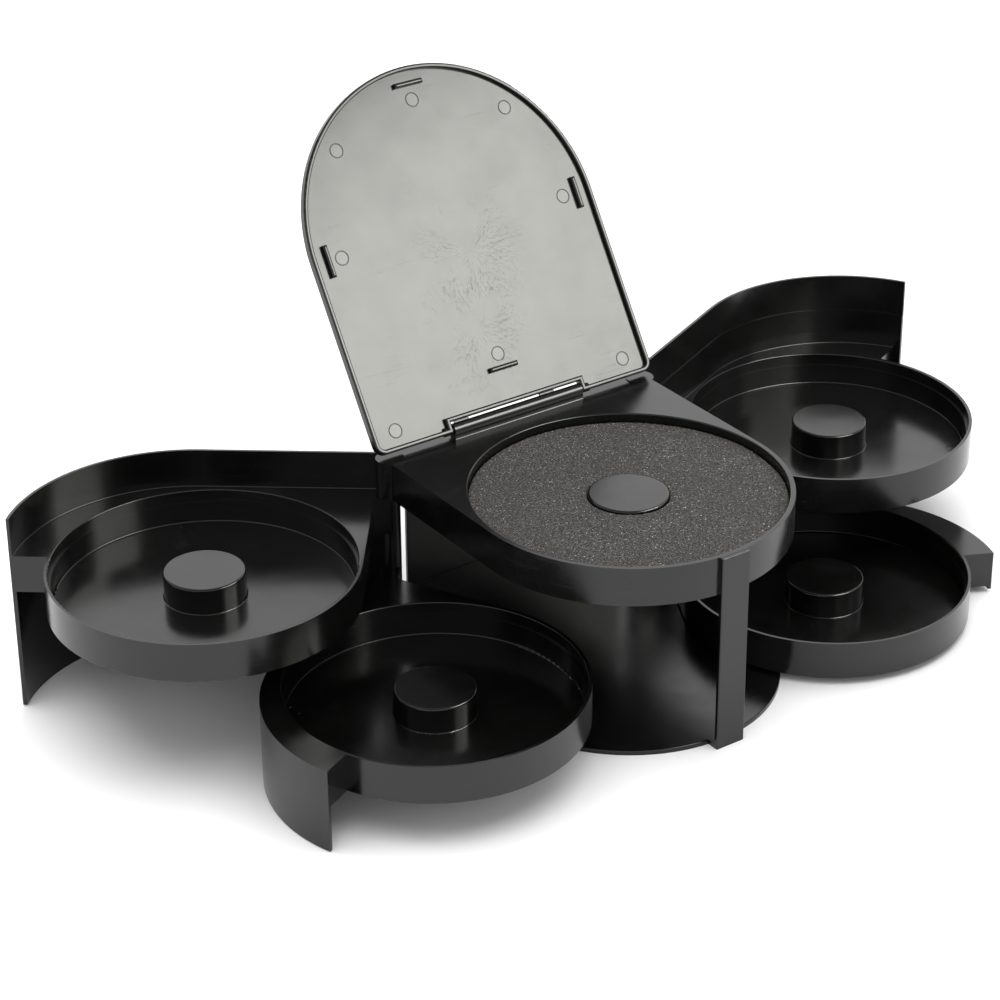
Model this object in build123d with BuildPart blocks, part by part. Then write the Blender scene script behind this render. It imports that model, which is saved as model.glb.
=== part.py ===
from build123d import *
import os
from math import cos, radians, sin, sqrt

# Tool storage caddy: a D-shaped tower, 153 mm wide, with a lidded top tray and four
# round trays that swing out on two upright rods at the rear corners.
# Origin: centre of the front round, on the floor. +Y points to the straight back.

os.makedirs("parts", exist_ok=True)

# --- driving dimensions -------------------------------------------------------------
HEIGHT = 94.3          # floor to the deck of the top tray
PITCH = 18.25          # height of one tray level
LEVEL_GAP = 0.6        # air between two levels
TOP_GAP = 0.3          # air between the top tray and the tray below it
WALL = 1.8             # moulded wall
FLOOR = 1.8            # moulded floor
GAP = 0.3              # end gap between two barrels on one rod
BITE = 0.2             # depth by which one part of a moulding runs into the next
FAR = 200.0            # cutting size, larger than any tray

TOP_RADIUS = 72.7      # top tray, outside
TOP_INNER = 70.3       # top tray, inside of the round dish
BACK_Y = 85.75         # back face of the tower
DECK_BACK = 89.0       # the deck's edge stands out behind the tower
DECK_LIP = 3.0         # thickness of that edge
BASE_RADIUS = 69.4
BASE_THICK = 2.2

HINGE_X = 69.8         # upright rods
HINGE_Y = 83.3
ROD_RADIUS = 2.0
ROD_PLAY = 0.06
ROD_END = 0.2          # rod ends, short of the base's underside and of the blind bore
ROD_COVER = 3.0        # deck left above the rods
BARREL_RADIUS = 4.2
BOSS_RADIUS = 6.5      # rear corners of the top tray
SWING_CLEAR = 0.4      # air between a skirt's rear end and another tray's barrel

HUB_RADIUS = 17.9      # round island in the middle of each dish
HUB_DROP = 3.5         # hub top below the rim
TOP_HUB_DROP = 3.05
HUB_ROUND = 0.9        # rounded edges of hubs, rims and the feet of walls
RIM_ROUND = 0.6
FOOT_ROUND = 0.8
HUB_FOOT_ROUND = 0.6

POST_HALF = 7.4        # front post
POST_FRONT = -74.8
POST_BACK = -73.0
POST_ROOT = -60.0      # base and top tray reach forward to the post from here
POST_ROUND = 0.5
POST_TOP_ROUND = 0.35
SKIRT_END = POST_HALF + 0.4
SKIRT_CENTRE_Y = -2.0  # centre of the skirts' round part
SKIRT_BOTTOM = 0.5

LID_AXIS_Y = 84.3
LID_AXIS_Z = HEIGHT + 3.0
LID_OPEN = 123.3
LID_RADIUS = 76.4
LID_CENTRE_Y = -3.9    # centre of the lid's round end when it is closed
LID_TOP = 1.4          # lid plate, measured from the hinge axis
LID_INNER = -0.2
LID_RIM = -2.4
LID_RIM_WIDTH = 2.2
LID_RIM_ROUND = 0.85   # rounded top of the rim
LID_BACK = 1.4         # lid's back edge behind the hinge axis

BLOCK_HALF = 35.5      # hinge block on the deck
BLOCK_RADIUS = 2.9
BLOCK_FOOT = 0.3       # small slope where the block's front meets the deck
STOP_REACH = 5.0       # two tabs behind the open lid: reach from the axis, and both faces
STOP_ROOT = 1.0
STOP_FACE = 1.75
STOP_BACK = 2.95
STOPS = ((-31.9, -24.2), (15.4, 23.3))
KNUCKLE_RADIUS = 2.0
PIN_RADIUS = 1.0
PIN_PLAY = 0.06
PIN_END = 0.2
KNUCKLES = ((-40.2, -36.0), (36.0, 40.2))

# one row for each swing tray: level below the deck, side (-1 left, 1 right), opening angle,
# dish radius, dish centre, inside and outside radius of its skirt, the skirt's front end,
# bottom and top, and the angles of the ring marks on the dish floor
TRAYS = {
    "upper_left_tray": dict(level=1, side=-1, angle=127.6, dish=68.3, centre=(5.2, 7.8),
                            skirt=(73.6, 75.4), end=SKIRT_END, bottom=SKIRT_BOTTOM, top=HEIGHT,
                            rings=(-164, -104, -20)),
    "upper_right_tray": dict(level=2, side=1, angle=115.0, dish=68.3, centre=(5.2, 7.8),
                             skirt=(73.6, 75.4), end=4.0, bottom=SKIRT_BOTTOM, top=HEIGHT,
                             rings=(-71, -115, -157)),
    "lower_left_tray": dict(level=3, side=-1, angle=63.64, dish=66.9, centre=(4.2, 6.6),
                            skirt=(71.6, 73.2), end=SKIRT_END, bottom=SKIRT_BOTTOM,
                            top=HEIGHT - 3 * PITCH, rings=(-153, -64)),
    "lower_right_tray": dict(level=4, side=1, angle=62.7, dish=66.9, centre=(4.2, 6.6),
                             skirt=(71.6, 73.2), end=SKIRT_END, bottom=2.0,
                             top=HEIGHT - 4 * PITCH, rings=(-34, -103)),
}

TOP_BOTTOM = HEIGHT - PITCH + TOP_GAP
TOP_FLOOR = TOP_BOTTOM + FLOOR
LID_TURN = radians(LID_OPEN)
LID_ORIGIN = (0, LID_AXIS_Y, LID_AXIS_Z)


def write(builder, label):
    """Name one finished piece and write its STEP file."""
    builder.part.label = label
    export_step(builder.part, "parts/" + label + ".step")


def arch(radius, centre_y, back_y, mode=Mode.ADD):
    """Sketch a D: a round front on a straight-sided back."""
    with Locations((0, centre_y)):
        Circle(radius, mode=mode)
    with Locations((0, (centre_y + back_y) / 2)):
        Rectangle(2 * radius, back_y - centre_y, mode=mode)


def at_hinges():
    """The two rod positions, left and right."""
    return Locations((-HINGE_X, HINGE_Y), (HINGE_X, HINGE_Y))


def rims(builder, radius, height):
    """Circular edges of one radius at one height."""
    circles = builder.edges().filter_by(GeomType.CIRCLE)
    level = circles.filter_by(lambda edge: abs(edge.center().Z - height) < 0.01)
    return level.filter_by(lambda edge: abs(edge.radius - radius) < 0.01)


def lid_plane(height):
    """A plane of the lid, by its height over the hinge axis when the lid is closed."""
    normal = (0, sin(LID_TURN), cos(LID_TURN))
    origin = tuple(a + height * b for a, b in zip(LID_ORIGIN, normal))
    return Plane(origin=origin, x_dir=(1, 0, 0), z_dir=normal)


def lid_section(x):
    """A plane across the hinge axis: along the lid, then out of it."""
    normal = lid_plane(0).z_dir
    return Plane(origin=(x, LID_AXIS_Y, LID_AXIS_Z), x_dir=(0, normal.Z, -normal.Y), z_dir=(1, 0, 0))


# --- base plate: thin floor of the tower ---------------------------------------------
TAB_X = (-40.0, 0.0, 40.0)
TAB_LENGTH = 14.0
TAB_DEPTH = 1.4
TAB_THICK = 0.95
WALL_FRONT = 84.0      # back wall, inner face
WALL_HALF = 61.2
WALL_STEP_Z = 26.0     # the back wall is a little thicker below this height
WALL_STEP = 0.4
WALL_ROUND = 0.3
BASE_ROUND = 0.5

with BuildPart() as base_plate:
    with BuildSketch(Plane.XY):
        arch(BASE_RADIUS, 0, BACK_Y)
        with Locations((0, (POST_BACK + POST_ROOT) / 2)):
            Rectangle(2 * POST_HALF, POST_ROOT - POST_BACK)
        with at_hinges():
            Circle(BARREL_RADIUS)
    extrude(amount=BASE_THICK)
    fillet(rims(base_plate, BASE_RADIUS, BASE_THICK), BASE_ROUND)
    with BuildSketch(Plane.XY.offset(BASE_THICK - TAB_DEPTH)):
        with Locations(*[(x, (WALL_FRONT + BACK_Y) / 2) for x in TAB_X]):
            Rectangle(TAB_LENGTH, TAB_THICK)
    extrude(amount=TAB_DEPTH, mode=Mode.SUBTRACT)
    with BuildSketch(Plane.XY):
        with at_hinges():
            Circle(ROD_RADIUS)
    extrude(amount=BASE_THICK, mode=Mode.SUBTRACT)
write(base_plate, "base_plate")

# --- back wall: stands in slots of the base and carries the top tray ------------------
with BuildPart() as back_wall:
    with BuildSketch(Plane.XY.offset(BASE_THICK)):
        with Locations((0, (WALL_FRONT + BACK_Y) / 2)):
            Rectangle(2 * WALL_HALF, BACK_Y - WALL_FRONT)
    extrude(amount=TOP_BOTTOM - BASE_THICK)
    with BuildSketch(Plane.XY.offset(BASE_THICK)):
        with Locations((0, WALL_FRONT - WALL_STEP / 2)):
            Rectangle(2 * WALL_HALF, WALL_STEP)
    extrude(amount=WALL_STEP_Z - BASE_THICK)
    with BuildSketch(Plane.XY.offset(BASE_THICK - TAB_DEPTH)):
        with Locations(*[(x, (WALL_FRONT + BACK_Y) / 2) for x in TAB_X]):
            Rectangle(TAB_LENGTH, TAB_THICK)
    extrude(amount=TAB_DEPTH)
    fillet(back_wall.edges().filter_by(Axis.Z).group_by(Axis.X)[0], WALL_ROUND)
    fillet(back_wall.edges().filter_by(Axis.Z).group_by(Axis.X)[-1], WALL_ROUND)
write(back_wall, "back_wall")

# --- front post: flat bar from the floor to the deck ----------------------------------
with BuildPart() as front_post:
    with BuildSketch(Plane.XY):
        with Locations((0, (POST_FRONT + POST_BACK) / 2)):
            Rectangle(2 * POST_HALF, POST_BACK - POST_FRONT)
    extrude(amount=HEIGHT)
    fillet(front_post.edges().filter_by(Axis.Z).group_by(Axis.Y)[0], POST_ROUND)
    fillet(front_post.faces().sort_by(Axis.Z)[-1].edges(), POST_TOP_ROUND)
write(front_post, "front_post")

# --- top tray: D-shaped deck with a round dish, corner bosses and the hinge block -----
RECESS_Y = 78.2        # shallow step in the deck, where the lid's back edge turns
RECESS_HALF = 65.5
RECESS = 0.5

with BuildPart() as top_tray:
    with BuildSketch(Plane.XY.offset(HEIGHT - DECK_LIP)):
        with Locations((0, DECK_BACK / 2)):
            Rectangle(2 * TOP_RADIUS, DECK_BACK)
    extrude(amount=DECK_LIP)
    with BuildSketch(Plane.XY.offset(TOP_BOTTOM)):
        arch(TOP_RADIUS, 0, BACK_Y)
        with at_hinges():
            Circle(BOSS_RADIUS)
        with Locations((0, (POST_BACK + POST_ROOT) / 2)):
            Rectangle(2 * POST_HALF, POST_ROOT - POST_BACK)
    extrude(amount=HEIGHT - TOP_BOTTOM)
    # round dish with its hub
    with BuildSketch(Plane.XY.offset(TOP_FLOOR)):
        Circle(TOP_INNER)
        Circle(HUB_RADIUS, mode=Mode.SUBTRACT)
    extrude(amount=HEIGHT - TOP_FLOOR, mode=Mode.SUBTRACT)
    with BuildSketch(Plane.XY.offset(HEIGHT - TOP_HUB_DROP)):
        Circle(HUB_RADIUS + BITE)
    extrude(amount=TOP_HUB_DROP, mode=Mode.SUBTRACT)
    fillet(rims(top_tray, HUB_RADIUS, HEIGHT - TOP_HUB_DROP), HUB_ROUND)
    fillet(rims(top_tray, TOP_INNER, HEIGHT), RIM_ROUND)
    # hollow under the deck, outside the dish
    with BuildSketch(Plane.XY.offset(TOP_BOTTOM)):
        with Locations((0, (BACK_Y - WALL) / 2)):
            Rectangle(2 * (TOP_RADIUS - WALL), BACK_Y - WALL)
        Circle(TOP_RADIUS, mode=Mode.SUBTRACT)
        with at_hinges():
            Circle(BOSS_RADIUS, mode=Mode.SUBTRACT)
    extrude(amount=HEIGHT - TOP_BOTTOM - WALL, mode=Mode.SUBTRACT)
    # shallow recess behind the lid line
    with BuildSketch(Plane.XY.offset(HEIGHT - RECESS)):
        with Locations((0, (RECESS_Y + DECK_BACK) / 2)):
            Rectangle(2 * RECESS_HALF, DECK_BACK - RECESS_Y)
        with at_hinges():
            Circle(BOSS_RADIUS, mode=Mode.SUBTRACT)
    extrude(amount=RECESS, mode=Mode.SUBTRACT)
    # hinge block: half-round bar with a small sloping foot in front
    with BuildSketch(Plane.YZ.offset(-BLOCK_HALF)):
        with BuildLine():
            front = LID_AXIS_Y - BLOCK_RADIUS
            deck = HEIGHT - RECESS
            Polyline((front, LID_AXIS_Z), (front, deck + BLOCK_FOOT), (front - BLOCK_FOOT, deck),
                     (BACK_Y, deck), (LID_AXIS_Y, LID_AXIS_Z), (front, LID_AXIS_Z))
        make_face()
        with Locations((LID_AXIS_Y, LID_AXIS_Z)):
            Circle(BLOCK_RADIUS)
    extrude(amount=2 * BLOCK_HALF)
    # stop tabs for the open lid
    for start, end in STOPS:
        with BuildSketch(lid_section(start)):
            with Locations((-(STOP_REACH + STOP_ROOT) / 2, (STOP_FACE + STOP_BACK) / 2)):
                Rectangle(STOP_REACH - STOP_ROOT, STOP_BACK - STOP_FACE)
        extrude(amount=end - start)
    # bore for the hinge pin
    with BuildSketch(Plane.YZ.offset(-BLOCK_HALF)):
        with Locations((LID_AXIS_Y, LID_AXIS_Z)):
            Circle(PIN_RADIUS)
    extrude(amount=2 * BLOCK_HALF, mode=Mode.SUBTRACT)
    # blind bores for the upright rods
    with BuildSketch(Plane.XY.offset(TOP_BOTTOM)):
        with at_hinges():
            Circle(ROD_RADIUS)
    extrude(amount=HEIGHT - TOP_BOTTOM - ROD_COVER, mode=Mode.SUBTRACT)
write(top_tray, "top_tray")

# --- foam ring in the top tray ---------------------------------------------------------
FOAM_TOP = HEIGHT - 3.5
FOAM_PLAY = 0.1

with BuildPart() as foam_pad:
    with BuildSketch(Plane.XY.offset(TOP_FLOOR)):
        Circle(TOP_INNER - FOAM_PLAY)
        Circle(HUB_RADIUS + FOAM_PLAY, mode=Mode.SUBTRACT)
    extrude(amount=FOAM_TOP - TOP_FLOOR)
write(foam_pad, "foam_pad")

# --- upright hinge rods ----------------------------------------------------------------
for side, label in ((-1, "left_hinge_rod"), (1, "right_hinge_rod")):
    with BuildPart() as rod:
        with BuildSketch(Plane.XY.offset(ROD_END)):
            with Locations((side * HINGE_X, HINGE_Y)):
                Circle(ROD_RADIUS)
        extrude(amount=HEIGHT - ROD_COVER - 2 * ROD_END)
    write(rod, label)


# --- swing trays -----------------------------------------------------------------------
BARRELS = {
    "upper_left_tray": (HEIGHT - 3 * PITCH + GAP, HEIGHT - PITCH),
    "lower_left_tray": (BASE_THICK + GAP, HEIGHT - 3 * PITCH),
    "upper_right_tray": (HEIGHT - 4 * PITCH + GAP, HEIGHT - PITCH),
    "lower_right_tray": (BASE_THICK + GAP, HEIGHT - 4 * PITCH),
}
LEDGE_DROP = 5.8       # step in the dish's inside wall, below the rim
LEDGE = 0.7
BAND_STEP = 0.5        # the skirt is thinner beside the top tray
COVE = 0.5             # rounding where a flange meets its skirt
ARM_HALF = 8.0         # half width of the arm that joins flange and barrel
ARM_ROOT = 6.0         # depth of its solid root
RING_PLACE = 60.0      # moulding rings left by the ejector pins
RING_OUT = 3.4
RING_IN = 3.0
RING_DEPTH = 0.2


def swing_tray(tray, barrel):
    """Build one tray in its hinge's own frame, then stand it at its open angle."""
    side = tray["side"]
    turn = radians(tray["angle"]) * side
    inner, outer = tray["skirt"]
    dish = tray["dish"]
    rim_z = HEIGHT - tray["level"] * PITCH
    floor_z = rim_z - PITCH + LEVEL_GAP
    centre = (HINGE_X - tray["centre"][0], tray["centre"][1] - HINGE_Y)
    back = centre[1] + dish
    skirt_x = HINGE_X
    round_y = SKIRT_CENTRE_Y - HINGE_Y

    def plane(height):
        # local x runs across the tower, mirrored for the right side
        return Plane(origin=(side * HINGE_X, HINGE_Y, height),
                     x_dir=(cos(turn), sin(turn), 0), z_dir=(0, 0, 1))

    def spot(x, y):
        return (-side * x, y)

    def skirt_plan(inside, start):
        # ring between two arches, cut off behind the hinge and beside the post
        for radius, mode in ((outer, Mode.ADD), (inside, Mode.SUBTRACT)):
            with Locations(spot(skirt_x, round_y)):
                Circle(radius, mode=mode)
            with Locations(spot(skirt_x, round_y / 2)):
                Rectangle(2 * radius, -round_y, mode=mode)
        with Locations(spot(skirt_x - tray["end"] - FAR / 2, start - FAR / 2)):
            Rectangle(FAR, FAR, mode=Mode.INTERSECT)

    def flange_plan(inset):
        # everything of this level inside the skirt, from the hinge to the post
        with Locations(spot(skirt_x, round_y)):
            Circle(inner + BITE - inset)
        with Locations(spot(skirt_x, (round_y + back - inset) / 2)):
            Rectangle(2 * (inner + BITE - inset), back - inset - round_y)
        with Locations(spot(skirt_x - SKIRT_END - inset - FAR / 2, back - inset - FAR / 2)):
            Rectangle(FAR, FAR, mode=Mode.INTERSECT)

    with BuildPart() as body:
        with BuildSketch(plane(floor_z)):
            flange_plan(0)
            with Locations(spot(*centre)):
                Circle(dish)
            with BuildLine():
                corner = spot(skirt_x - inner, 0)
                Polyline(corner, spot(BARREL_RADIUS, 0), spot(ARM_HALF, back),
                         spot(ARM_HALF, back - ARM_ROOT), spot(skirt_x - inner, back - ARM_ROOT), corner)
            make_face()
            Circle(BARREL_RADIUS)
        extrude(amount=rim_z - floor_z)
        # pocket under the flange, open below
        with BuildSketch(plane(floor_z)):
            flange_plan(WALL)
            with Locations(spot(*centre)):
                Circle(dish, mode=Mode.SUBTRACT)
            with Locations(spot(0, back - ARM_ROOT)):
                Rectangle(2 * ARM_HALF, 2 * ARM_ROOT, mode=Mode.SUBTRACT)
        extrude(amount=rim_z - floor_z - WALL, mode=Mode.SUBTRACT)
        # dish: wide above the ledge, narrower below it
        with BuildSketch(plane(rim_z - LEDGE_DROP)):
            with Locations(spot(*centre)):
                Circle(dish - WALL)
                Circle(HUB_RADIUS, mode=Mode.SUBTRACT)
        extrude(amount=LEDGE_DROP, mode=Mode.SUBTRACT)
        with BuildSketch(plane(floor_z + FLOOR)):
            with Locations(spot(*centre)):
                Circle(dish - WALL - LEDGE)
                Circle(HUB_RADIUS, mode=Mode.SUBTRACT)
        extrude(amount=rim_z - floor_z - FLOOR, mode=Mode.SUBTRACT)
        with BuildSketch(plane(rim_z - HUB_DROP)):
            with Locations(spot(*centre)):
                Circle(HUB_RADIUS + BITE)
        extrude(amount=HUB_DROP, mode=Mode.SUBTRACT)
        # the hub is a cup from below
        with BuildSketch(plane(floor_z)):
            with Locations(spot(*centre)):
                Circle(HUB_RADIUS - WALL)
        extrude(amount=rim_z - HUB_DROP - FLOOR - floor_z, mode=Mode.SUBTRACT)
        fillet(rims(body, HUB_RADIUS, rim_z - HUB_DROP), HUB_ROUND)
        fillet(rims(body, dish - WALL, rim_z), RIM_ROUND)
        fillet(rims(body, dish - WALL - LEDGE, floor_z + FLOOR), FOOT_ROUND)
        fillet(rims(body, HUB_RADIUS, floor_z + FLOOR), HUB_FOOT_ROUND)
        # ring marks on the dish floor
        with BuildSketch(plane(floor_z + FLOOR - RING_DEPTH)):
            with Locations(spot(*centre)):
                for angle in tray["rings"]:
                    with PolarLocations(RING_PLACE, 1, start_angle=angle):
                        Circle(RING_OUT)
                        Circle(RING_IN, mode=Mode.SUBTRACT)
        extrude(amount=RING_DEPTH, mode=Mode.SUBTRACT)
        # skirt: own barrel's height, then below it, then beside the top tray
        barrel_low, barrel_high = barrel
        clear_barrel = -sqrt((BARREL_RADIUS + SWING_CLEAR) ** 2 - (inner - HINGE_X) ** 2)
        clear_boss = -sqrt((BOSS_RADIUS + SWING_CLEAR) ** 2 - (inner - HINGE_X) ** 2)
        skirt_high = min(tray["top"], HEIGHT - PITCH)
        with BuildSketch(plane(tray["bottom"])):
            skirt_plan(inner, clear_barrel)
        extrude(amount=barrel_low - tray["bottom"])
        with BuildSketch(plane(barrel_low)):
            skirt_plan(inner, 0)
        extrude(amount=skirt_high - barrel_low)
        if tray["top"] > skirt_high:
            with BuildSketch(plane(skirt_high)):
                skirt_plan(inner + BAND_STEP, clear_boss)
            extrude(amount=tray["top"] - skirt_high)
            # small cove where the flange meets the skirt
            step = BAND_STEP if rim_z > skirt_high - 0.01 else 0
            fillet(rims(body, inner + step, rim_z), COVE)
        # barrel and its bore
        with BuildSketch(plane(barrel_low)):
            Circle(BARREL_RADIUS)
        extrude(amount=barrel_high - barrel_low)
        with BuildSketch(plane(barrel_low)):
            Circle(ROD_RADIUS + ROD_PLAY)
        extrude(amount=barrel_high - barrel_low, mode=Mode.SUBTRACT)
    return body


for label, tray in TRAYS.items():
    write(swing_tray(tray, BARRELS[label]), label)

# --- lid -------------------------------------------------------------------------------
LID_ROUND_Y = LID_CENTRE_Y - LID_AXIS_Y
LID_CUT_Y = -3.65      # the lid's edge in front of the hinge block
LID_CUT_PLAY = 0.5
LID_CUT_REACH = 20.0
LID_CORNER = 5.0
RIB_LENGTH = 15.0      # four short ribs on the inner face: x, y and angle
RIB_WIDTH = 2.3
RIB_HEIGHT = 2.4
RIB_ROUND = 1.05
RIBS = ((0, -72.2, 0), (0, 63.9, 0), (-68.2, -3.7, 90), (68.2, -3.7, 90))
LID_RINGS = ((46.0, -50.7), (-46.0, -50.7), (60.9, -3.7), (-60.9, -3.7), (63.3, 76.8),
             (-63.3, 76.8), (0, 57.4), (0, -64.7))


def lid_plan(plan, inset):
    """The lid's outline: an arch with round rear corners and a cut-out for the block."""
    radius = LID_RADIUS - inset
    back = LID_BACK - inset
    with Locations((0, LID_ROUND_Y)):
        Circle(radius)
    with Locations((0, (LID_ROUND_Y + back) / 2)):
        Rectangle(2 * radius, back - LID_ROUND_Y)
    half = BLOCK_HALF + LID_CUT_PLAY + inset
    with Locations((0, LID_CUT_Y - inset + LID_CUT_REACH / 2)):
        Rectangle(2 * half, LID_CUT_REACH, mode=Mode.SUBTRACT)
    columns = plan.vertices().group_by(Axis.X)
    corners = [column.sort_by(Axis.Y)[-1] for column in (columns[0], columns[-1])]
    fillet(corners, LID_CORNER - inset)


def inner_edges(builder, height):
    """Edges that stand out of the lid's inner face by one height."""
    inner = lid_plane(LID_INNER)
    return builder.edges().filter_by(
        lambda edge: abs((inner.origin - edge.center()).dot(inner.z_dir) - height) < 0.01)


with BuildPart() as lid:
    with BuildSketch(lid_plane(LID_RIM)) as outline:
        lid_plan(outline, 0)
    extrude(amount=LID_TOP - LID_RIM)
    with BuildSketch(lid_plane(LID_RIM)) as recess:
        lid_plan(recess, LID_RIM_WIDTH)
    extrude(amount=LID_INNER - LID_RIM, mode=Mode.SUBTRACT)
    fillet(inner_edges(lid, LID_INNER - LID_RIM), LID_RIM_ROUND)
    # round-topped ribs on the inner face
    for x, y, angle in RIBS:
        place = Location((x, y - LID_AXIS_Y, 0), (0, 0, angle))
        with BuildSketch(lid_plane(LID_INNER - RIB_HEIGHT)):
            with Locations(place):
                Rectangle(RIB_LENGTH, RIB_WIDTH)
        extrude(amount=RIB_HEIGHT)
    fillet(inner_edges(lid, RIB_HEIGHT), RIB_ROUND)
    # ring marks
    with BuildSketch(lid_plane(LID_INNER)):
        with Locations(*[(x, y - LID_AXIS_Y) for x, y in LID_RINGS]):
            Circle(RING_OUT)
            Circle(RING_IN, mode=Mode.SUBTRACT)
    extrude(amount=RING_DEPTH, mode=Mode.SUBTRACT)
    # knuckles round the hinge pin
    for start, end in KNUCKLES:
        with BuildSketch(Plane.YZ.offset(start)):
            with Locations((LID_AXIS_Y, LID_AXIS_Z)):
                Circle(KNUCKLE_RADIUS)
        extrude(amount=end - start)
    with BuildSketch(Plane.YZ.offset(KNUCKLES[0][0])):
        with Locations((LID_AXIS_Y, LID_AXIS_Z)):
            Circle(PIN_RADIUS + PIN_PLAY)
    extrude(amount=KNUCKLES[1][1] - KNUCKLES[0][0], mode=Mode.SUBTRACT)
write(lid, "lid")

# --- lid hinge pin ---------------------------------------------------------------------
with BuildPart() as lid_hinge_pin:
    with BuildSketch(Plane.YZ.offset(KNUCKLES[0][0] + PIN_END)):
        with Locations((LID_AXIS_Y, LID_AXIS_Z)):
            Circle(PIN_RADIUS)
    extrude(amount=KNUCKLES[1][1] - KNUCKLES[0][0] - 2 * PIN_END)
write(lid_hinge_pin, "lid_hinge_pin")
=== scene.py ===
"""Looks of the tool storage caddy: materials, foam pad, floor, lights and camera, around the CAD model."""

import bmesh
import bpy
from math import cos, pi, radians, sin
from mathutils import Matrix, Vector, noise


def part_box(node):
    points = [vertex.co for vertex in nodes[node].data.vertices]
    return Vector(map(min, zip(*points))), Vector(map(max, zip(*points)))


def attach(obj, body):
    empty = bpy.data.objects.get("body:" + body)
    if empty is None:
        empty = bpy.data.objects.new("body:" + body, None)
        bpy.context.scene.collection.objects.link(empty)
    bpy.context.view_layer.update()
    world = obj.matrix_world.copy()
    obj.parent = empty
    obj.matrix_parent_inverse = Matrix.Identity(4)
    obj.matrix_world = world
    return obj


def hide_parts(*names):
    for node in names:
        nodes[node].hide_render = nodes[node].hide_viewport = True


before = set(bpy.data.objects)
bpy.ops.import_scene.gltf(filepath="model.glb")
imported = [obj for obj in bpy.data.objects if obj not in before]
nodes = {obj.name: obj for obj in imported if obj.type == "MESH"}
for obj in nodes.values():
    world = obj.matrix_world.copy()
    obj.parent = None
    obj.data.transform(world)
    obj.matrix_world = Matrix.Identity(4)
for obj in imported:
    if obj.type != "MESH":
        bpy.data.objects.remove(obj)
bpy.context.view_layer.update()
MM = 0.001


# --- camera ---------------------------------------------------------------------------
CAMERA_TARGET = Vector((-68.4, 0, 109.1)) * MM
CAMERA_DISTANCE = 1260.4 * MM
CAMERA_AZIMUTH = radians(-34.9)
CAMERA_ELEVATION = radians(28.43)
CAMERA_ROLL = radians(-0.4)
CAMERA_LENS = 107.54   # millimetres, on a 36 mm sensor


def make_camera():
    """A long lens in front and to the left, above the caddy."""
    data = bpy.data.cameras.new("camera")
    data.sensor_width = 36
    data.lens = CAMERA_LENS
    data.clip_start = 0.05
    data.clip_end = 50
    camera = bpy.data.objects.new("camera", data)
    bpy.context.scene.collection.objects.link(camera)
    back = Vector((sin(CAMERA_AZIMUTH) * cos(CAMERA_ELEVATION),
                   -cos(CAMERA_AZIMUTH) * cos(CAMERA_ELEVATION),
                   sin(CAMERA_ELEVATION)))
    facing = (-back).to_track_quat("-Z", "Y").to_matrix()
    camera.matrix_world = (Matrix.Translation(CAMERA_TARGET + back * CAMERA_DISTANCE)
                           @ (facing @ Matrix.Rotation(CAMERA_ROLL, 3, "Z")).to_4x4())
    bpy.context.scene.camera = camera


# --- places on the lid, which stands open at rest ---------------------------------------
LID_HINGE = Vector((0, 84.3, 97.3)) * MM
LID_ALONG = Vector((0, 0.549, 0.836))    # from the hinge to the lid's round end
LID_OUT = Vector((0, 0.836, -0.549))     # out of its outer face
LID_INNER = 0.2 * MM                     # inner face, below the hinge axis
MARK_RADIUS = 3.2 * MM


def on_lid(x, reach):
    """A point of the lid's inner face, by its place across it and its reach from the hinge, in mm."""
    return LID_HINGE + Vector((x, 0, 0)) * MM + LID_ALONG * reach * MM - LID_OUT * LID_INNER


LID_MARKS = [on_lid(x, reach) for x, reach in ((46, 135), (-46, 135), (60.9, 88), (-60.9, 88),
                                               (63.3, 7.5), (-63.3, 7.5), (0, 26.9), (0, 149))]
# two gate marks: centre and reach
LID_FLOW = (((0.004, 0.1257, 0.1603), 0.034),
            ((-0.007, 0.1063, 0.1308), 0.036))


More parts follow.
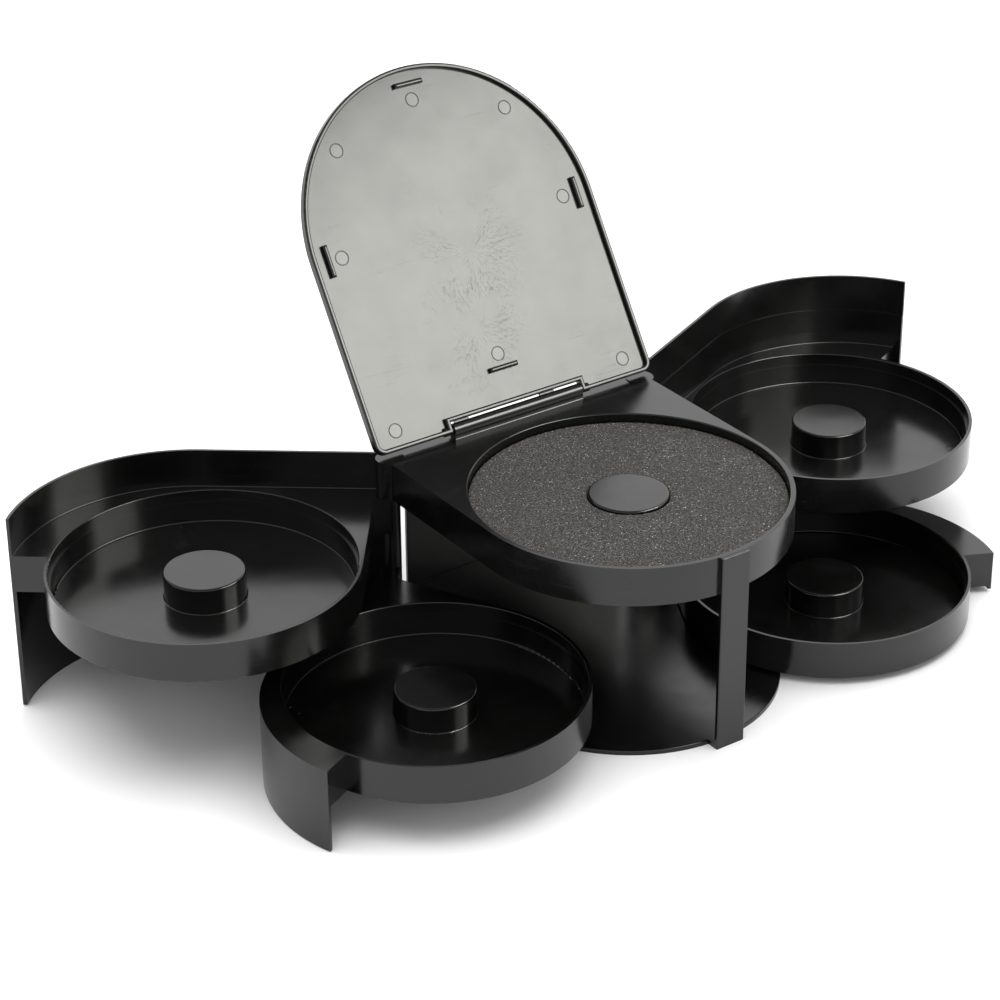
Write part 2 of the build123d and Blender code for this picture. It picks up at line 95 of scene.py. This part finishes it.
# --- materials ------------------------------------------------------------------------
class Shader:
    """A material's node tree, with short calls to add and join its nodes."""

    def __init__(self, name):
        self.material = bpy.data.materials.new(name)
        self.material.use_nodes = True
        self.tree = self.material.node_tree
        self.tree.nodes.clear()
        self.output = self.node("ShaderNodeOutputMaterial")
        self.surface = self.node("ShaderNodeBsdfPrincipled")
        self.link(self.surface.outputs["BSDF"], self.output.inputs["Surface"])
        self.place = self.node("ShaderNodeTexCoord").outputs["Object"]

    def node(self, kind, **settings):
        made = self.tree.nodes.new(kind)
        for name, value in settings.items():
            setattr(made, name, value)
        return made

    def link(self, source, target):
        self.tree.links.new(source, target)

    def fill(self, socket, value):
        """Join a socket to another node's output, or set it to a plain value."""
        if isinstance(value, bpy.types.NodeSocket):
            self.link(value, socket)
        else:
            socket.default_value = value

    def math(self, operation, first, second=0.0, clamp=False):
        made = self.node("ShaderNodeMath", operation=operation, use_clamp=clamp)
        for socket, value in zip(made.inputs, (first, second)):
            self.fill(socket, value)
        return made.outputs[0]

    def mapped(self, scale=(1, 1, 1), turn=(0, 0, 0), move=(0, 0, 0)):
        made = self.node("ShaderNodeMapping")
        self.link(self.place, made.inputs["Vector"])
        made.inputs["Location"].default_value = move
        made.inputs["Rotation"].default_value = [radians(angle) for angle in turn]
        made.inputs["Scale"].default_value = scale
        return made.outputs["Vector"]

    def noise(self, size, detail=2.0, rough=0.5, distort=0.0, place=None):
        """Soft noise with features of about this size in metres."""
        made = self.node("ShaderNodeTexNoise")
        self.link(place or self.place, made.inputs["Vector"])
        made.inputs["Scale"].default_value = 1 / size
        made.inputs["Detail"].default_value = detail
        made.inputs["Roughness"].default_value = rough
        made.inputs["Distortion"].default_value = distort
        return made.outputs["Fac"]

    def cells(self, size):
        """Distance from the middles of scattered cells of about this size in metres."""
        made = self.node("ShaderNodeTexVoronoi")
        self.link(self.place, made.inputs["Vector"])
        made.inputs["Scale"].default_value = 1 / size
        return made.outputs["Distance"]

    def ramp(self, value, low, high, start=0.0, end=1.0):
        """Turn the span low..high of a value into start..end, clamped."""
        made = self.node("ShaderNodeMapRange")
        self.fill(made.inputs["Value"], value)
        made.inputs["From Min"].default_value = low
        made.inputs["From Max"].default_value = high
        made.inputs["To Min"].default_value = start
        made.inputs["To Max"].default_value = end
        return made.outputs["Result"]

    def mix(self, share, first, second):
        """Mix two colours."""
        made = self.node("ShaderNodeMix", data_type="RGBA")
        self.fill(made.inputs["Factor"], share)
        self.fill(made.inputs[6], first)
        self.fill(made.inputs[7], second)
        return made.outputs[2]

    def bump(self, height, depth, under=None):
        """Relief of this depth in metres, on top of another relief."""
        made = self.node("ShaderNodeBump")
        self.link(height, made.inputs["Height"])
        made.inputs["Distance"].default_value = depth
        made.inputs["Strength"].default_value = 1.0
        if under:
            self.link(under, made.inputs["Normal"])
        return made.outputs["Normal"]


def grey(value, warm=0.0):
    return (value * (1 + warm), value, value * (1 - warm), 1.0)


def scratches(s):
    """Sparse hairline scratches in three directions, bent a little."""
    marks = None
    for turn, reach in (((10, 5, 25), 40), ((0, 12, -40), 26), ((8, 0, 78), 55)):
        place = s.mapped(scale=(reach, 1500, 1500), turn=turn)
        streak = s.noise(1.0, detail=1.0, distort=0.4, place=place)
        where = s.noise(0.04, detail=2.0, place=s.mapped(move=(turn[2] * 0.01, 0.3, 0.1)))
        line = s.math("MULTIPLY", s.ramp(streak, 0.74, 0.80), s.ramp(where, 0.52, 0.66))
        marks = line if marks is None else s.math("MAXIMUM", marks, line)
    return marks


def offset_along(s, origin, direction):
    """Signed distance from a point, measured along a direction."""
    offset = s.node("ShaderNodeVectorMath", operation="SUBTRACT")
    s.link(s.place, offset.inputs[0])
    offset.inputs[1].default_value = origin
    dot = s.node("ShaderNodeVectorMath", operation="DOT_PRODUCT")
    s.link(offset.outputs["Vector"], dot.inputs[0])
    dot.inputs[1].default_value = direction
    return dot.outputs["Value"]


def feathers(s, centre, reach):
    """Fine filaments that spread over the lid from a point, as moulded plastic shows near a gate."""
    u = offset_along(s, centre, (1, 0, 0))
    v = offset_along(s, centre, LID_ALONG)
    angle = s.math("ARCTAN2", v, u)
    radius = s.math("SQRT", s.math("ADD", s.math("MULTIPLY", u, u), s.math("MULTIPLY", v, v)))
    polar = s.node("ShaderNodeCombineXYZ")
    s.link(s.math("MULTIPLY", angle, 7.0), polar.inputs["X"])
    s.link(s.math("MULTIPLY", radius, 110.0), polar.inputs["Y"])
    threads = s.noise(1.0, detail=3.0, rough=0.6, distort=0.9, place=polar.outputs["Vector"])
    threads = s.ramp(s.math("ABSOLUTE", s.math("SUBTRACT", threads, 0.5)), 0.03, 0.0)
    patch = s.ramp(s.noise(0.016, detail=1.0), 0.36, 0.52)
    return s.math("MULTIPLY", s.math("MULTIPLY", threads, patch), s.ramp(radius, reach, reach * 0.4))


def discs(s):
    """Round ejector marks: how far inside one a point is, and how near its outline."""
    inside = outline = None
    for centre in LID_MARKS:
        gap = s.node("ShaderNodeVectorMath", operation="DISTANCE")
        s.link(s.place, gap.inputs[0])
        gap.inputs[1].default_value = centre
        disc = s.ramp(gap.outputs["Value"], MARK_RADIUS, MARK_RADIUS - 0.0003)
        off = s.math("ABSOLUTE", s.math("SUBTRACT", gap.outputs["Value"], MARK_RADIUS))
        ring = s.ramp(off, 0.0004, 0.0002)
        inside = disc if inside is None else s.math("MAXIMUM", inside, disc)
        outline = ring if outline is None else s.math("MAXIMUM", outline, ring)
    return inside, outline


def mark_lid(s, colour, rough):
    """Add the gate and ejector marks, which are on the lid's inner face only."""
    inner = s.ramp(offset_along(s, LID_HINGE, LID_OUT), 0.0008, 0.0004)
    for centre, reach in LID_FLOW:
        threads = s.math("MULTIPLY", feathers(s, centre, reach), inner)
        colour = s.mix(s.math("MULTIPLY", threads, 0.5), colour, grey(0.02))
        rough = s.math("ADD", rough, s.math("MULTIPLY", threads, 0.17), clamp=True)
    inside, outline = discs(s)
    inside = s.math("MULTIPLY", inside, inner)
    outline = s.math("MULTIPLY", outline, inner)
    colour = s.mix(s.math("MULTIPLY", inside, 0.8), colour, grey(0.03))
    return colour, s.math("ADD", rough, s.math("MULTIPLY", outline, 0.25), clamp=True)


PLASTIC_SHADE = 0.0025   # base colour, and how strong scuffs and dust are
SCUFFS = 0.5
DUST = 0.3
PLASTIC_IOR = 1.5


def plastic(name, gloss, marked=False):
    """Black moulded plastic: soft sink waves, fine grain, scuffs, hairlines and a little dust."""
    s = Shader(name)
    waves = s.noise(0.030, detail=1.0)
    grain = s.noise(0.0011, detail=3.0, rough=0.6)
    relief = s.bump(waves, 0.00012)
    relief = s.bump(grain, 0.00001, relief)
    lines = s.math("MULTIPLY", scratches(s), 0.35)
    # scuffs run level round the upright walls
    level = s.noise(1.0, detail=2.0, distort=0.6, place=s.mapped(scale=(45, 45, 1300)))
    patch = s.ramp(s.noise(0.035, detail=3.0), 0.48, 0.66)
    worn = s.math("MULTIPLY", s.ramp(level, 0.56, 0.74), patch)
    worn = s.math("MULTIPLY", worn, SCUFFS)
    specks = s.ramp(s.cells(0.007), 0.03, 0.018)
    specks = s.math("MULTIPLY", specks, s.ramp(s.noise(0.02), 0.5, 0.62))
    specks = s.math("MULTIPLY", specks, DUST)
    cloud = s.noise(0.018, detail=4.0, rough=0.6)
    dark, pale = (grey(PLASTIC_SHADE * share, 0.05) for share in (0.8, 1.2))
    colour = s.mix(s.ramp(cloud, 0.35, 0.7), dark, pale)
    colour = s.mix(lines, colour, grey(0.03))
    colour = s.mix(worn, colour, grey(0.012, 0.04))
    colour = s.mix(specks, colour, grey(0.14))
    rough = s.ramp(cloud, 0.3, 0.7, gloss - 0.02, gloss + 0.04)
    rough = s.math("ADD", rough, s.math("MULTIPLY", lines, 0.2))
    rough = s.math("ADD", rough, s.math("MULTIPLY", worn, 0.12))
    rough = s.math("ADD", rough, s.math("MULTIPLY", specks, 0.4), clamp=True)
    if marked:
        colour, rough = mark_lid(s, colour, rough)
    s.link(colour, s.surface.inputs["Base Color"])
    s.link(rough, s.surface.inputs["Roughness"])
    s.link(relief, s.surface.inputs["Normal"])
    s.surface.inputs["IOR"].default_value = PLASTIC_IOR
    return s.material


def foam(name):
    """Dark open-cell foam: brown-grey struts round pores painted near-black as shade, and a few dots
    painted bright as highlights.
    """
    s = Shader(name)
    pores = s.cells(0.0009)
    fine = s.noise(0.0006, detail=3.0, rough=0.65)
    cloud = s.noise(0.02, detail=3.0)
    # the pores get a near-black colour, which is painted shade inside the cells; the struts keep the
    # foam's own brown-grey
    light = s.math("MULTIPLY", s.ramp(pores, 0.15, 0.75), s.ramp(fine, 0.3, 0.7, 0.3, 1.4))
    colour = s.mix(light, grey(0.006, 0.07), grey(0.082, 0.06))
    colour = s.mix(s.ramp(cloud, 0.35, 0.65, 0.0, 0.25), colour, grey(0.026, 0.08))
    # a few scattered dots painted pale grey: painted highlights standing in for sparkle, not a colour of
    # the foam
    painted_glints = s.ramp(s.noise(0.0008, detail=1.0), 0.68, 0.74)
    colour = s.mix(painted_glints, colour, grey(0.42))
    s.link(colour, s.surface.inputs["Base Color"])
    relief = s.bump(fine, 0.0003, s.bump(pores, 0.0004))
    s.link(relief, s.surface.inputs["Normal"])
    s.surface.inputs["Roughness"].default_value = 0.92
    s.surface.inputs["Specular IOR Level"].default_value = 0.25
    return s.material


def steel(name):
    """Drawn steel wire: bright, with fine lines along it."""
    s = Shader(name)
    lines = s.noise(1.0, detail=3.0, place=s.mapped(scale=(3000, 3000, 120)))
    colour = s.mix(lines, grey(0.38), grey(0.58))
    s.link(colour, s.surface.inputs["Base Color"])
    s.link(s.ramp(lines, 0.3, 0.7, 0.22, 0.42), s.surface.inputs["Roughness"])
    s.link(s.bump(lines, 0.00001), s.surface.inputs["Normal"])
    s.surface.inputs["Metallic"].default_value = 1.0
    return s.material


def dress(node, material, bevelled=True):
    """Give a CAD node its material and a small bevel on its sharp edges."""
    piece = nodes[node]
    piece.data.materials.clear()
    piece.data.materials.append(material)
    if bevelled:
        bevel = piece.modifiers.new("edge", "BEVEL")
        bevel.width = 0.18 * MM
        bevel.segments = 2
        bevel.limit_method = "ANGLE"
        bevel.angle_limit = radians(40)
        bevel.harden_normals = True


# --- foam pad ---------------------------------------------------------------------------
FOAM_HOLE = 18.1 * MM    # radius round the top tray's hub
FOAM_RIM = 1.2 * MM      # rounding of the upper edges
FOAM_TURNS = 420         # mesh steps round the ring, and across its top
FOAM_RINGS = 64


def make_foam():
    """A ring of foam with soft rims, cut a little unevenly."""
    low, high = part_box("foam_pad")
    centre = (low + high) / 2
    outer = (high.x - low.x) / 2 - 0.1 * MM
    inner = FOAM_HOLE
    rim = FOAM_RIM
    bottom = low.z + 0.2 * MM
    top = high.z - 0.2 * MM
    # the section, from the outer foot over the top to the inner foot
    section = [(outer, bottom), (outer, top - rim)]
    section += [(outer - rim + rim * cos(a), top - rim + rim * sin(a)) for a in (pi / 6, pi / 3, pi / 2)]
    span = outer - inner - 2 * rim
    section += [(outer - rim - span * i / FOAM_RINGS, top) for i in range(1, FOAM_RINGS)]
    section += [(inner + rim - rim * cos(a), top - rim + rim * sin(a)) for a in (pi / 2, pi / 3, pi / 6)]
    section += [(inner, top - rim), (inner, bottom)]
    mesh = bmesh.new()
    rows = []
    for r, z in section:
        row = []
        for i in range(FOAM_TURNS):
            a = 2 * pi * i / FOAM_TURNS
            spot = Vector((centre.x + r * cos(a), centre.y + r * sin(a), z))
            lift = noise.noise(spot * 45) * 0.00035 + noise.noise(spot * 900) * 0.00018
            depth = min(1.0, (z - bottom) / (top - bottom))
            if z > bottom + 0.001:
                spot.z += (lift - 0.0003) * depth
            row.append(mesh.verts.new(spot))
        rows.append(row)
    rows.append(rows[0])
    for a, b in zip(rows, rows[1:]):
        for i in range(FOAM_TURNS):
            j = (i + 1) % FOAM_TURNS
            mesh.faces.new((a[i], a[j], b[j], b[i]))
    bmesh.ops.recalc_face_normals(mesh, faces=mesh.faces)
    data = bpy.data.meshes.new("foam_ring")
    mesh.to_mesh(data)
    mesh.free()
    for face in data.polygons:
        face.use_smooth = True
    piece = bpy.data.objects.new("foam_ring", data)
    bpy.context.scene.collection.objects.link(piece)
    data.materials.append(foam("foam"))
    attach(piece, "frame")
    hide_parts("foam_pad")


# --- floor and lights -------------------------------------------------------------------
FLOOR_HALF = 12.0        # metres


def make_floor():
    """A plain pale floor."""
    mesh = bpy.data.meshes.new("floor")
    corners = [(x * FLOOR_HALF, y * FLOOR_HALF, 0) for x, y in ((-1, -1), (1, -1), (1, 1), (-1, 1))]
    mesh.from_pydata(corners, [], [(0, 1, 2, 3)])
    floor = bpy.data.objects.new("floor", mesh)
    bpy.context.scene.collection.objects.link(floor)
    s = Shader("floor")
    tone = s.noise(0.3, detail=2.0)
    s.link(s.mix(tone, grey(0.88), grey(0.9)), s.surface.inputs["Base Color"])
    s.surface.inputs["Roughness"].default_value = 0.9
    s.surface.inputs["Specular IOR Level"].default_value = 0.0
    mesh.materials.append(s.material)


def softbox(name, place, aim, width, height, power):
    """A rectangular soft light at a place, turned towards a point."""
    data = bpy.data.lights.new(name, "AREA")
    data.shape = "RECTANGLE"
    data.size = width
    data.size_y = height
    data.energy = power
    light = bpy.data.objects.new(name, data)
    bpy.context.scene.collection.objects.link(light)
    light.location = place
    light.rotation_euler = (Vector(aim) - Vector(place)).to_track_quat("-Z", "Y").to_euler()
    return light


SKY_TOP = 0.4          # radiance overhead, at the horizon and in the bright band behind
SKY_LOW = 1.0
SKY_BACK = 1.65
BACK_HEADING = Vector((0.57, 0.82, 0))
KEY_HEIGHT = 3.0
KEY_SIZE = 4.0
KEY_POWER = 150
LID_CENTRE = Vector((0, 0.12, 0.17))
LID_GLARE = Vector((0.503, -0.724, 0.473))   # from here the lid mirrors light into the camera
GLARE_REACH = 0.6
GLARE_SHIFT = Vector((-0.039, -0.016, 0.017))   # keeps the light out of the tower's inside
GLARE_SIZE = (0.455, 0.308)
GLARE_POWER = 5.5
GLARE_COLOUR = (0.99, 1.0, 0.93)


def make_sky():
    """A pale studio: dark overhead, lighter towards the horizon and brightest behind the caddy."""
    world = bpy.data.worlds.new("studio")
    bpy.context.scene.world = world
    world.use_nodes = True
    tree = world.node_tree
    background = tree.nodes["Background"]

    def node(kind, **settings):
        made = tree.nodes.new(kind)
        for name, value in settings.items():
            setattr(made, name, value)
        return made

    def ramp(value, low, high, start, end):
        made = node("ShaderNodeMapRange", interpolation_type="SMOOTHSTEP")
        tree.links.new(value, made.inputs["Value"])
        for name, number in (("From Min", low), ("From Max", high), ("To Min", start), ("To Max", end)):
            made.inputs[name].default_value = number
        return made.outputs["Result"]

    direction = node("ShaderNodeTexCoord").outputs["Generated"]
    split = node("ShaderNodeSeparateXYZ")
    tree.links.new(direction, split.inputs["Vector"])
    facing = node("ShaderNodeVectorMath", operation="DOT_PRODUCT")
    tree.links.new(direction, facing.inputs[0])
    facing.inputs[1].default_value = BACK_HEADING
    height = ramp(split.outputs["Z"], 0.45, 0.85, SKY_LOW, SKY_TOP)
    behind = ramp(facing.outputs["Value"], 0.35, 0.75, 0.0, SKY_BACK - SKY_LOW)
    below = ramp(split.outputs["Z"], 0.6, 0.85, 1.0, 0.0)
    band = node("ShaderNodeMath", operation="MULTIPLY_ADD")
    tree.links.new(behind, band.inputs[0])
    tree.links.new(below, band.inputs[1])
    tree.links.new(height, band.inputs[2])
    tree.links.new(band.outputs[0], background.inputs["Strength"])
    background.inputs["Color"].default_value = (1.0, 1.0, 1.0, 1.0)


def make_lights():
    """The sky, a broad soft light overhead and a small one that the open lid mirrors."""
    make_sky()
    key = softbox("overhead", (0, 0, KEY_HEIGHT), (0, 0, 0), KEY_SIZE, KEY_SIZE, KEY_POWER)
    key.visible_glossy = False
    place = LID_CENTRE + LID_GLARE * GLARE_REACH + GLARE_SHIFT
    glare = softbox("glare", place, LID_CENTRE, *GLARE_SIZE, GLARE_POWER)
    glare.visible_diffuse = False
    glare.data.color = GLARE_COLOUR
    for light in (key, glare):
        light.visible_camera = False


# --- the scene --------------------------------------------------------------------------
make_camera()
tray_plastic = plastic("tray_plastic", 0.18)
frame_plastic = plastic("frame_plastic", 0.2)
lid_plastic = plastic("lid_plastic", 0.22, marked=True)
rod_steel = steel("rod_steel")
for name in ("upper_left_tray", "upper_right_tray", "lower_left_tray", "lower_right_tray"):
    dress(name, tray_plastic)
for name in ("base_plate", "back_wall", "front_post", "top_tray"):
    dress(name, frame_plastic)
dress("lid", lid_plastic)
for name in ("left_hinge_rod", "right_hinge_rod", "lid_hinge_pin"):
    dress(name, rod_steel, bevelled=False)
make_foam()
make_floor()
make_lights()
bpy.context.scene.view_settings.view_transform = "Standard"
